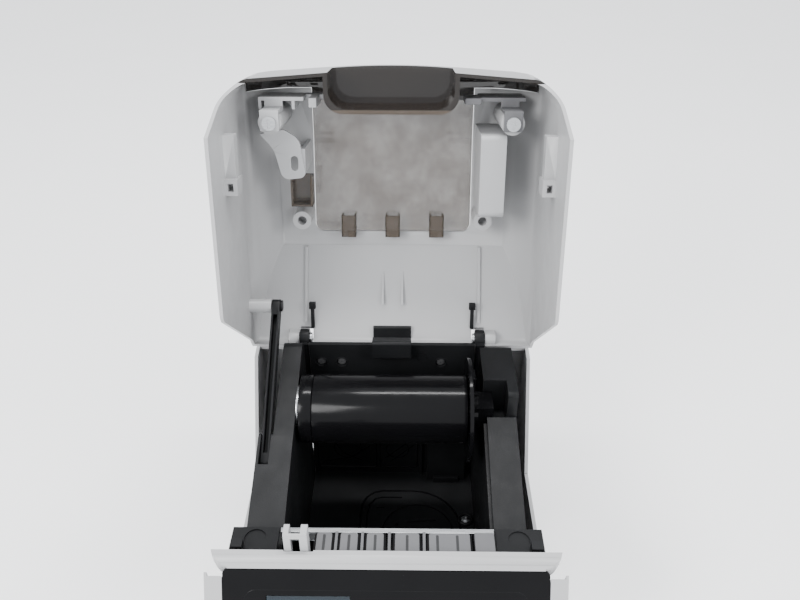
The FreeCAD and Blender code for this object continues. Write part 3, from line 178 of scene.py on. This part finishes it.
def window_pane(name, colour, alpha):
    """The lid's smoked pane, printed black round its edge, on its front wall and in the finger scoop."""
    material = pane(name, colour, alpha)
    tree = material.node_tree
    shader = tree.nodes["Principled BSDF"]
    place = add(tree, "ShaderNodeTexCoord")
    to_lid = add(tree, "ShaderNodeMapping", vector_type="TEXTURE")
    to_lid.inputs["Location"].default_value = HINGE
    to_lid.inputs["Rotation"].default_value = (-LID_OPEN, 0, 0)
    split = add(tree, "ShaderNodeSeparateXYZ")
    tree.links.new(place.outputs["Object"], to_lid.inputs["Vector"])
    tree.links.new(to_lid.outputs["Vector"], split.inputs["Vector"])
    beyond = add(tree, "ShaderNodeMath", operation="LESS_THAN")
    beyond.inputs[1].default_value = PANE_FRONT
    tree.links.new(split.outputs["Y"], beyond.inputs[0])
    fade = add(tree, "ShaderNodeMapRange")
    fade.inputs["To Max"].default_value = 0.93
    old_alpha = shader.inputs["Alpha"].links[0].from_socket
    tree.links.new(beyond.outputs["Value"], fade.inputs["Value"])
    tree.links.new(old_alpha, fade.inputs["To Min"])
    tree.links.new(fade.outputs["Result"], shader.inputs["Alpha"])
    paint = add(tree, "ShaderNodeMix", data_type="RGBA")
    paint.inputs[7].default_value = (0.011, 0.0085, 0.0068, 1)
    old_colour = shader.inputs["Base Color"].links[0].from_socket
    tree.links.new(beyond.outputs["Value"], paint.inputs[0])
    tree.links.new(old_colour, paint.inputs[6])
    tree.links.new(paint.outputs[2], shader.inputs["Base Color"])
    return material


def board(name, colour):
    """Solder mask over copper tracks."""
    material, tree, shader = new_material(name)
    place = add(tree, "ShaderNodeTexCoord")
    tracks = add(tree, "ShaderNodeTexBrick")
    tracks.inputs["Scale"].default_value = 220
    tracks.inputs["Mortar Size"].default_value = 0.06
    tracks.inputs["Color1"].default_value = (*colour, 1)
    tracks.inputs["Color2"].default_value = (*(c * 0.8 for c in colour), 1)
    tracks.inputs["Mortar"].default_value = (*(c * 2.2 for c in colour), 1)
    tree.links.new(place.outputs["Object"], tracks.inputs["Vector"])
    tree.links.new(tracks.outputs["Color"], shader.inputs["Base Color"])
    tree.links.new(remap(tree, noise(tree, 300), 0.25, 0.42), shader.inputs["Roughness"])
    tree.links.new(relief(tree, tracks.outputs["Fac"], 0.00004), shader.inputs["Normal"])
    return material


WHITE = (0.36, 0.36, 0.363)
BLACK = (0.0075, 0.0078, 0.0085)

finishes = {
    "white_shell": plastic("white_shell", WHITE, 0.38, grain=1300, tint=0.02, depth=0.00002),
    "white_part": plastic("white_part", (0.37, 0.372, 0.378), 0.42, grain=1600, tint=0.03),
    "smoked_pane": window_pane("smoked_pane", (0.068, 0.049, 0.033), 0.7),
    "black_chassis": plastic("black_chassis", BLACK, 0.46, grain=1100, depth=0.00006, tint=0.22,
                             specular=0.16),
    "black_gloss": plastic("black_gloss", (0.0035, 0.0035, 0.004), 0.16, grain=600, depth=0.000004,
                           tint=0.1, spread=0.04, coat=0.0, specular=0.12),
    "grey_comb": plastic("grey_comb", (0.10, 0.10, 0.105), 0.42, tint=0.06),
    "rubber": plastic("rubber", (0.018, 0.018, 0.018), 0.75, grain=500, depth=0.00008, tint=0.2),
    "steel": metal("steel", (0.56, 0.57, 0.58), 0.28, (0.05, 1, 1)),
    "steel_plate": plastic("steel_plate", (0.05, 0.05, 0.052), 0.5, grain=700, depth=0.00005, tint=0.15),
    "aluminium": metal("aluminium", (0.45, 0.46, 0.48), 0.34, (0.03, 1, 1)),
    "ceramic": plastic("ceramic", (0.68, 0.66, 0.60), 0.2, grain=400, depth=0.00001, coat=0.4),
    "gear_plastic": plastic("gear_plastic", (0.72, 0.70, 0.63), 0.36, tint=0.05),
    "display_glass": pane("display_glass", (0.012, 0.02, 0.028), 0.82),
    "circuit_board": board("circuit_board", (0.012, 0.085, 0.035)),
    "key_cap": plastic("key_cap", (0.10, 0.105, 0.115), 0.4, tint=0.1),
    "connector": plastic("connector", (0.016, 0.016, 0.017), 0.36, tint=0.15),
}


def dress_nodes():
    """Give every CAD node the finish of its slot."""
    for name, item in nodes.items():
        item.data.materials.clear()
        item.data.materials.append(finishes[slot_of[name]])


def soften_edges():
    """Break the moulded parts' sharp edges so that they catch the light."""
    for name, item in nodes.items():
        if slot_of[name] in ("circuit_board", "gear_plastic"):
            continue
        weld = item.modifiers.new("weld", "WELD")
        weld.merge_threshold = 0.000002
        round_off = item.modifiers.new("round", "BEVEL")
        round_off.width = 0.00035
        round_off.segments = 2
        round_off.limit_method = "ANGLE"
        round_off.angle_limit = math.radians(42)
        round_off.harden_normals = False
        round_off.use_clamp_overlap = True


dress_nodes()
soften_edges()


# ---- building pieces -------------------------------------------------------------------------

def piece(name, mesh, body, slot, place=Matrix.Identity(4), smooth=True, bevel=0.0):
    """A bmesh in millimetres made into a named piece that rides on a body."""
    mesh.transform(place @ Matrix.Scale(MM, 4))
    bmesh.ops.recalc_face_normals(mesh, faces=mesh.faces)
    data = bpy.data.meshes.new(name)
    mesh.to_mesh(data)
    mesh.free()
    item = bpy.data.objects.new(name, data)
    bpy.context.scene.collection.objects.link(item)
    data.materials.append(finishes[slot])
    if bevel:
        round_off = item.modifiers.new("round", "BEVEL")
        round_off.width = bevel * MM
        round_off.segments = 3
        round_off.limit_method = "ANGLE"
        round_off.angle_limit = math.radians(35)
    if smooth:
        data.polygons.foreach_set("use_smooth", [True] * len(data.polygons))
        data.set_sharp_from_angle(angle=math.radians(35))
    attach(item, body)
    return item


def lid_place():
    """Takes the shut lid's own millimetres, measured from its hinge line, to its open place."""
    return Matrix.Translation(HINGE) @ Matrix.Rotation(-LID_OPEN, 4, "X")


def slope_place():
    """Takes X across, Y up the front panel's slope and Z out of it to the panel's face."""
    low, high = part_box("front_panel")
    out = -INWARD
    up = Vector((0, abs(out.z), abs(out.y)))
    turn = Matrix((Vector((1, 0, 0)), up, out)).transposed().to_4x4()
    return Matrix.Translation(Vector((0, low.y, low.z))) @ turn


def block(mesh, low, high):
    """A box between two corners, added to a mesh."""
    made = bmesh.ops.create_cube(mesh, size=1)
    size = [h - l for l, h in zip(low, high)]
    middle = [(h + l) / 2 for l, h in zip(low, high)]
    bmesh.ops.scale(mesh, vec=size, verts=made["verts"])
    bmesh.ops.translate(mesh, vec=middle, verts=made["verts"])
    return made["verts"]


def slab(mesh, outline, low, high):
    """A flat outline in X and Y, with its thickness from low to high."""
    floor = [mesh.verts.new((x, y, low)) for x, y in outline]
    top = [mesh.verts.new((x, y, high)) for x, y in outline]
    mesh.faces.new(floor[::-1])
    mesh.faces.new(top)
    for k in range(len(floor)):
        n = (k + 1) % len(floor)
        mesh.faces.new((floor[k], floor[n], top[n], top[k]))


def rounded_outline(corners, steps=6):
    """An outline with arcs at its corners; each corner is x, y and a radius."""
    points = []
    for k, (x, y, radius) in enumerate(corners):
        here = Vector((x, y))
        before = (Vector(corners[k - 1][:2]) - here).normalized()
        after = (Vector(corners[(k + 1) % len(corners)][:2]) - here).normalized()
        if radius == 0:
            points.append(here)
            continue
        half = before.angle(after) / 2
        start = here + before * (radius / math.tan(half))
        centre = here + (before + after).normalized() * (radius / math.sin(half))
        first = start - centre
        sweep = math.pi - 2 * half
        turn = 1 if before.cross(after) < 0 else -1
        for n in range(steps + 1):
            points.append(centre + Matrix.Rotation(turn * sweep * n / steps, 2) @ first)
    return points


def bead(mesh, path, radius, closed=False, sides=8, flat=1.0):
    """A half-sunk round line along a path of points on the plane of X and Y."""
    rings = []
    count = len(path)
    for k, point in enumerate(path):
        back = path[k - 1] if (k or closed) else point
        on = path[(k + 1) % count] if (k < count - 1 or closed) else point
        along = (Vector(on) - Vector(back)).normalized()
        side = Vector((-along.y, along.x, 0)) if abs(along.z) < 0.9 else Vector((1, 0, 0))
        ring = []
        for n in range(sides):
            angle = 2 * math.pi * n / sides
            offset = side * (radius * math.cos(angle)) + Vector((0, 0, radius * flat * math.sin(angle)))
            ring.append(mesh.verts.new(Vector(point) + offset))
        rings.append(ring)
    pairs = list(zip(rings, rings[1:])) + ([(rings[-1], rings[0])] if closed else [])
    for one, two in pairs:
        for n in range(sides):
            m = (n + 1) % sides
            mesh.faces.new((one[n], one[m], two[m], two[n]))
    if not closed:
        mesh.faces.new(rings[0][::-1])
        mesh.faces.new(rings[-1])


def lathe(mesh, profile, centre, axis="Z", sides=40):
    """A profile of (radius, height) points turned about an axis through a centre."""
    turn = {"Z": Matrix.Identity(3), "Y": Matrix.Rotation(math.pi / 2, 3, "X"),
            "X": Matrix.Rotation(math.pi / 2, 3, "Y")}[axis]
    rings = []
    for radius, height in profile:
        ring = []
        for n in range(sides):
            angle = 2 * math.pi * n / sides
            spot = Vector((radius * math.cos(angle), radius * math.sin(angle), height))
            ring.append(mesh.verts.new(turn @ spot + Vector(centre)))
        rings.append(ring)
    for one, two in zip(rings, rings[1:]):
        for n in range(sides):
            m = (n + 1) % sides
            mesh.faces.new((one[n], one[m], two[m], two[n]))
    mesh.faces.new(rings[0][::-1])
    mesh.faces.new(rings[-1])


# ---- pieces ----------------------------------------------------------------------------------

def guide_comb():
    """The grey guide blocks in their black trough, in front of the bright cross bar, with dark strips on the key
    tops as painted shade of their slots.
    """
    low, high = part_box("guide_comb")
    back, front, top = high.y / MM - 1.6, low.y / MM + 0.3, high.z / MM
    base = low.z / MM
    left, right = low.x / MM, high.x / MM
    trough = bmesh.new()
    block(trough, (left, front, base), (right, high.y / MM, base + 3))
    frames = ((-43.0, -30.9), (-28.9, -15.7), (-13.4, -0.4), (3.2, 20.6), (23.2, 50.4))
    for start, end in frames:
        arch = rounded_outline([(start, front, 0), (end, front, 0), (end, back + 1.4, 2.6),
                                (start, back + 1.4, 2.6)])
        slab(trough, arch, base + 2.6, top - 1.8)
    piece("comb_trough", trough, "base", "black_gloss", bevel=0.3)
    keys = bmesh.new()
    # Thin dark strips laid on the key tops: painted shade standing in for the slots' recesses.
    slot_shade_strips = bmesh.new()
    for k, (start, end) in enumerate(frames):
        inset = 1.5
        outline = rounded_outline([(start + inset, front, 0), (end - inset, front, 0),
                                   (end - inset, back, 1.6), (start + inset, back, 1.6)])
        slab(keys, outline, base + 2.8, top)
        slots = [(start + end) / 2] if end - start < 20 else [start + 6.5, end - 9.0]
        for x in slots:
            slab(slot_shade_strips, rounded_outline([(x - 0.8, front + 1.2, 0.7), (x + 0.8, front + 1.2, 0.7),
                                         (x + 0.8, back - 1.6, 0.7), (x - 0.8, back - 1.6, 0.7)]),
                 top - 0.2, top + 0.05)
    block(keys, (51.6, front, base + 2.8), (right - 0.4, back + 0.4, top))
    for start, end in zip([f[1] for f in frames], [f[0] for f in frames[1:]]):
        middle = (start + end) / 2
        block(keys, (middle - 0.9, front, base + 2.8), (middle + 0.9, back + 1.2, top - 0.6))
    comb = piece("comb_blocks", keys, "base", "grey_comb", bevel=0.35)
    # The dark strips are painted shade in the slots, not cut slots.
    piece("comb_slot_shade", slot_shade_strips, "base", "connector")
    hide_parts("guide_comb")


def sunk_screws():
    """Cross-headed screws sunk in the rear panel."""
    rims = bmesh.new()
    heads = bmesh.new()
    low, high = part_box("panel_screws")
    panel_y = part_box("rear_panel")[0].y / MM
    middle_z = (low.z + high.z) / 2 / MM
    for x in SCREW_XS:
        bead(rims, circle((x, 0, 0), 4.1), 0.5, closed=True)
        head = [(0.4, 0.4), (1.2, 0.75), (2.9, 0.35), (3.1, -0.2), (3.1, -1.4)]
        lathe(heads, head, (x, 0, 0), sides=28)
        for turn in (0, math.pi / 2):
            bar = block(heads, (-2.0, -0.28, 0.5), (2.0, 0.28, 0.82))
            bmesh.ops.rotate(heads, cent=(0, 0, 0), matrix=Matrix.Rotation(turn + 0.4, 3, "Z"), verts=bar)
            bmesh.ops.translate(heads, vec=(x, 0, 0), verts=bar)
    wall = Matrix.Translation((0, panel_y * MM, middle_z * MM)) @ Matrix.Rotation(math.pi / 2, 4, "X")
    piece("screw_rims", rims, "base", "black_chassis", wall)
    sunk = Matrix.Translation((0, 0.0012, 0)) @ wall
    screws = piece("sunk_screw_heads", heads, "base", "steel_plate", sunk)
    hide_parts("panel_screws")


def circle(centre, radius, steps=32):
    """Points round a circle on the plane of X and Y."""
    angles = [2 * math.pi * n / steps for n in range(steps)]
    return [Vector(centre) + Vector((radius * math.cos(a), radius * math.sin(a), 0)) for a in angles]


def flat_path(points):
    """The points lying on the plane of X and Y."""
    return [Vector((p[0], p[1], 0)) for p in points]


def bay_relief():
    """Raised mouldings on the bay's floor, the D among them, and a screw in its boss."""
    floor_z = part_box("bay_floor")[0].z + 0.0025
    lines = bmesh.new()
    reach = 37
    arc = [(16 + reach * math.cos(a), -2 + reach * math.sin(a))
           for a in [math.radians(-20 + 11 * n) for n in range(11)]]
    outer = arc + [(-8, 35), (-14.5, 33.2), (-20, 28.5), (-23.4, 21), (-24, 12), (-24, -22)]
    bead(lines, flat_path(outer), 0.8, flat=0.7)
    inner = [(-19, -22), (-19, 12), (-17.6, 21), (-13.5, 26.6), (-8, 28.4), (8, 28.4)]
    bead(lines, flat_path(inner), 0.7, flat=0.6)
    bead(lines, circle((20, -6, 0), 27, 48), 0.5, closed=True, flat=0.6)
    bead(lines, flat_path([(12, 4), (34, 6)]), 0.6)
    bead(lines, flat_path([(-12, 18), (-6, 18)]), 0.5)
    for x, y in ((4, 2), (6, -4), (45, -4), (11, -8)):
        bead(lines, circle((x, y, 0), 0.7, 10), 0.5, closed=True)
    piece("floor_relief", lines, "base", "black_gloss", Matrix.Translation((0, 0, floor_z)))
    boss = bmesh.new()
    lathe(boss, [(5.6, -1), (5.6, 2.2), (4.8, 2.8), (4.1, 2.6), (3.9, 1.0), (0.1, 1.0)], (57, 6, 0))
    piece("floor_screw_boss", boss, "base", "black_chassis", Matrix.Translation((0, 0, floor_z)))
    head = bmesh.new()
    lathe(head, [(0.3, 2.2), (1.4, 2.7), (3.3, 2.0), (3.4, 0.8)], (57, 6, 0), sides=28)
    piece("floor_screw", head, "base", "steel", Matrix.Translation((0, 0, floor_z)))


def wall_relief():
    """Two framed fields with plain raised strokes on the bay's rear wall."""
    wall_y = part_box("bay_rear_wall")[0].y
    lines = bmesh.new()
    for left, right in ((-60, -13), (-10, 20)):
        frame_line = rounded_outline([(left, 42, 1.5), (right, 42, 1.5), (right, 96, 1.5), (left, 96, 1.5)])
        bead(lines, flat_path(frame_line), 0.45, closed=True)
    bead(lines, circle((4, 62, 0), 9), 0.4, closed=True)
    bead(lines, flat_path([(-6, 52), (14, 72)]), 0.4)
    bead(lines, flat_path([(-2, 48), (17, 67)]), 0.4)
    bead(lines, circle((-36, 64, 0), 11), 0.4, closed=True)
    bead(lines, flat_path([(-56, 48), (-34, 53), (-18, 66)]), 0.4)
    bead(lines, flat_path([(-50, 78), (-40, 58), (-26, 50)]), 0.4)
    turn = Matrix.Translation((0, wall_y + 0.003, 0)) @ Matrix.Rotation(math.pi / 2, 4, "X")
    piece("wall_relief", lines, "base", "black_gloss", turn)


def window_clips():
    """Three smoked channels at the rear edge of the lid's window, inside the lid."""
    for k, x in enumerate((-CLIP_PITCH, 0, CLIP_PITCH)):
        clip = bmesh.new()
        for side in (-1, 1):
            block(clip, (x + side * CLIP_HALF - 0.7, -87, 22), (x + side * CLIP_HALF + 0.7, -71, 31))
        block(clip, (x - 5.3, -87, 22), (x + 5.3, -71, 23.2))
        piece(f"window_clip_{k + 1}", clip, "lid", "smoked_pane", lid_place(), bevel=0.3)


def hinge_straps():
    """The two thin black straps inside the lid at its hinge arms, clear of the rear panel when it shuts."""
    low = (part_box("rear_panel")[1].z - HINGE.z) / MM + 1.5
    for k, side in enumerate((-1, 1)):
        strap = bmesh.new()
        block(strap, (side * STRAP_X - 1.3, -24, low), (side * STRAP_X + 1.3, -6, low + 3))
        block(strap, (side * STRAP_X - 2.4, -26, low), (side * STRAP_X + 2.4, -21, low + 3.6))
        piece(f"hinge_strap_{k + 1}", strap, "lid", "black_chassis", lid_place(), bevel=0.5)


def smoked_pocket():
    """The smoked U of the left bracket."""
    pocket = bmesh.new()
    block(pocket, (-70, -120, 2), (-68.6, -99, 14))
    block(pocket, (-56.4, -120, 2), (-55, -99, 14))
    block(pocket, (-70, -100.4, 2), (-55, -99, 14))
    block(pocket, (-70, -120, 12.6), (-55, -99, 14))
    piece("smoked_pocket", pocket, "lid", "smoked_pane", lid_place(), bevel=0.3)


def panel_line():
    """The rounded raised line round the keys and the display on the front panel."""
    low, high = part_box("front_panel")
    wide = high.x - low.x
    length = math.hypot(high.y - low.y, high.z - low.z) / MM
    reach = wide / 2 / MM
    line = bmesh.new()
    corners = [(-reach + 12, 5, 7), (reach - 12, 5, 7),
               (reach - 12, length - 13, 7), (-reach + 12, length - 13, 7)]
    bead(line, flat_path(rounded_outline(corners)), 0.5, closed=True)
    piece("panel_line", line, "base", "black_gloss", slope_place())


guide_comb()
sunk_screws()
bay_relief()
wall_relief()
window_clips()
hinge_straps()
smoked_pocket()
panel_line()


# ---- stage -----------------------------------------------------------------------------------

def make_camera():
    """The camera, looking down into the open printer from its front."""
    camera = bpy.data.cameras.new("camera")
    camera.lens = LENS
    camera.sensor_width = 36
    item = bpy.data.objects.new("camera", camera)
    item.location = CAMERA_PLACE
    item.rotation_euler = (CAMERA_TILT, 0, CAMERA_TURN)
    bpy.context.scene.collection.objects.link(item)
    bpy.context.scene.camera = item


def lamp(name, spot, aim, size, power, colour=(1, 1, 1)):
    """A soft rectangular lamp aimed at a point."""
    light = bpy.data.lights.new(name, "AREA")
    light.shape = "RECTANGLE"
    light.size, light.size_y = size
    light.energy = power
    light.color = colour
    item = bpy.data.objects.new(name, light)
    item.location = spot
    item.rotation_euler = (Vector(aim) - Vector(spot)).to_track_quat("-Z", "Y").to_euler()
    bpy.context.scene.collection.objects.link(item)


def make_floor():
    """A plain pale floor."""
    mesh = bmesh.new()
    bmesh.ops.create_grid(mesh, x_segments=2, y_segments=2, size=3)
    data = bpy.data.meshes.new("floor")
    mesh.to_mesh(data)
    item = bpy.data.objects.new("floor", data)
    bpy.context.scene.collection.objects.link(item)
    material, tree, shader = new_material("floor")
    tone = two_tone(tree, noise(tree, 6, 2), (0.97, 0.97, 0.97), (0.985, 0.985, 0.985))
    tree.links.new(tone, shader.inputs["Base Color"])
    shader.inputs["Roughness"].default_value = 0.8
    data.materials.append(material)


def make_lights():
    """A bright even surround and three soft lamps."""
    world = bpy.data.worlds.new("studio")
    world.use_nodes = True
    world.node_tree.nodes["Background"].inputs["Color"].default_value = (0.95, 0.97, 1, 1)
    world.node_tree.nodes["Background"].inputs["Strength"].default_value = 1.9
    bpy.context.scene.world = world
    lamp("above", (0.0, 0.15, 1.5), (0, 0, 0.1), (0.9, 0.1), 16)
    lamp("front_left", (-0.9, -1.0, 1.1), (0, 0, 0.15), (0.6, 0.6), 22)
    lamp("front_right", (1.1, -0.7, 0.9), (0, 0, 0.15), (0.5, 0.5), 9)


make_camera()
make_floor()
make_lights()
